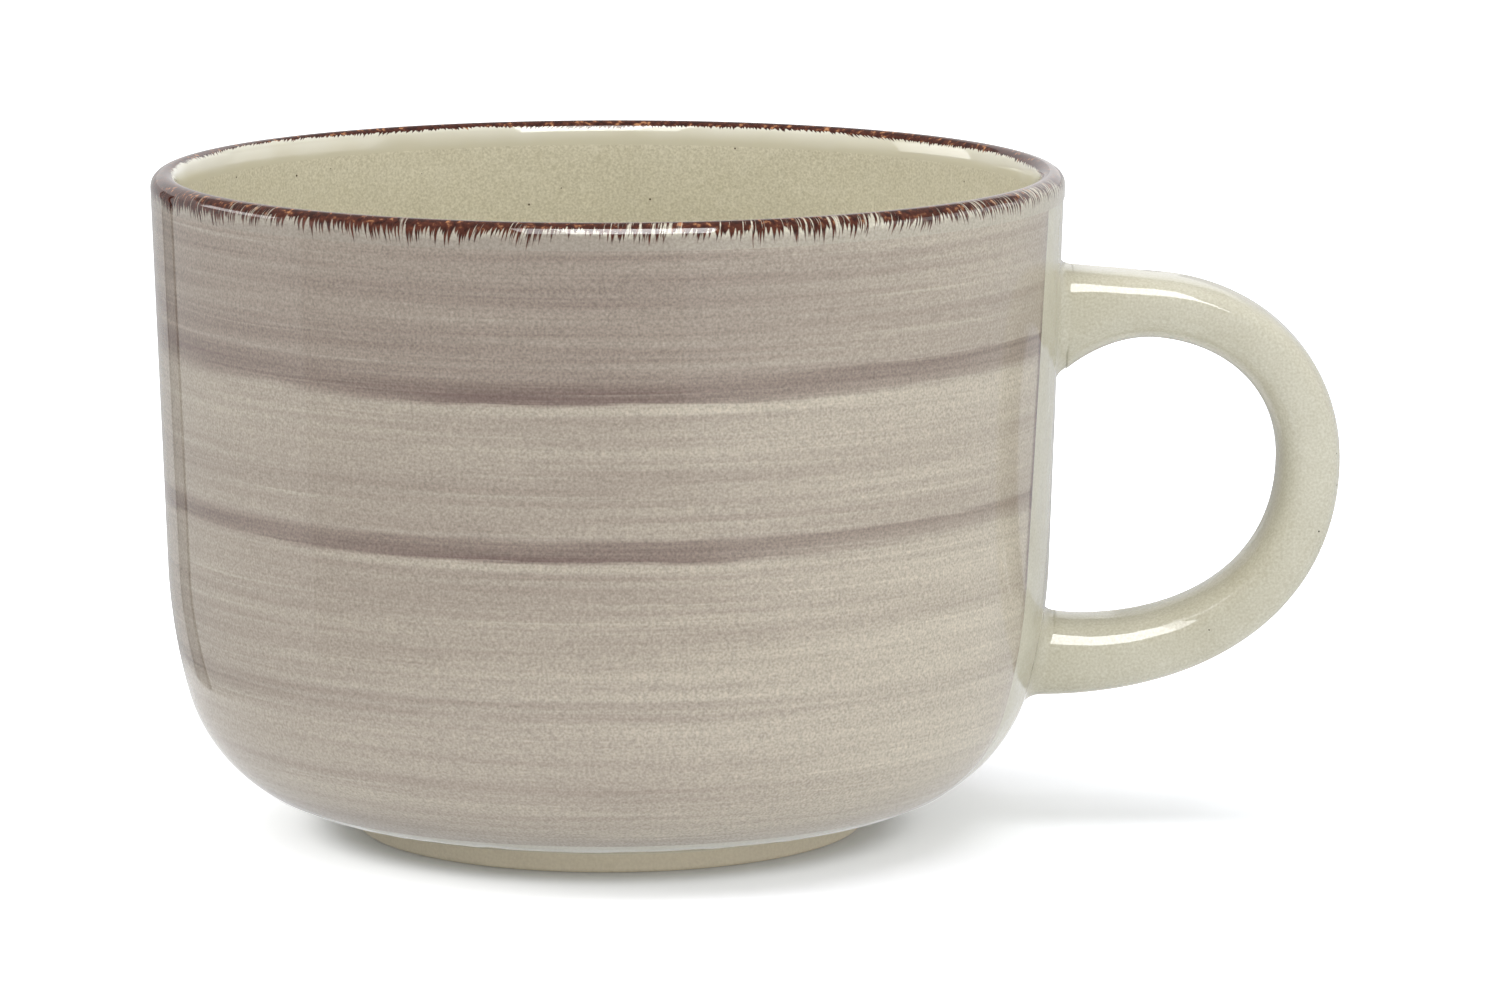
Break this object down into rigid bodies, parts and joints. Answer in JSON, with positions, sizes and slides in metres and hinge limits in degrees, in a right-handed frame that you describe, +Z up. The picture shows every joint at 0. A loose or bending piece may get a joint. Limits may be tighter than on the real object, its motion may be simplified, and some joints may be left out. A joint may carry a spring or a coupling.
{
  "type": "cappuccino mug",
  "caption": "Wide round stoneware mug with a rounded base on a low foot ring, a strap loop handle, a brushed colour coat and a brushed rim, for holding hot drinks.",
  "frame": {"origin": "centre of the foot ring's standing face, on the cup's axis, at the height of the table", "axes": "+Z up along the cup's axis, +X towards the handle, +Y by the right-hand rule"},
  "size_m": [0.1434, 0.11, 0.08],
  "materials": {
    "cream_stoneware": "gloss",
    "bare_stoneware": "matte",
    "taupe_coat": "gloss",
    "brown_rim": "gloss",
    "cream_liner": "gloss"
  },
  "bodies": {
    "root": {"cup_body": "cream_stoneware", "foot_ring": "bare_stoneware", "handle": "cream_stoneware", "upper_slip_joint": "cream_stoneware", "lower_slip_joint": "cream_stoneware", "brushed_coat": "taupe_coat", "rim_band": "brown_rim", "liner_glaze": "cream_liner"}
  },
  "joints": []
}
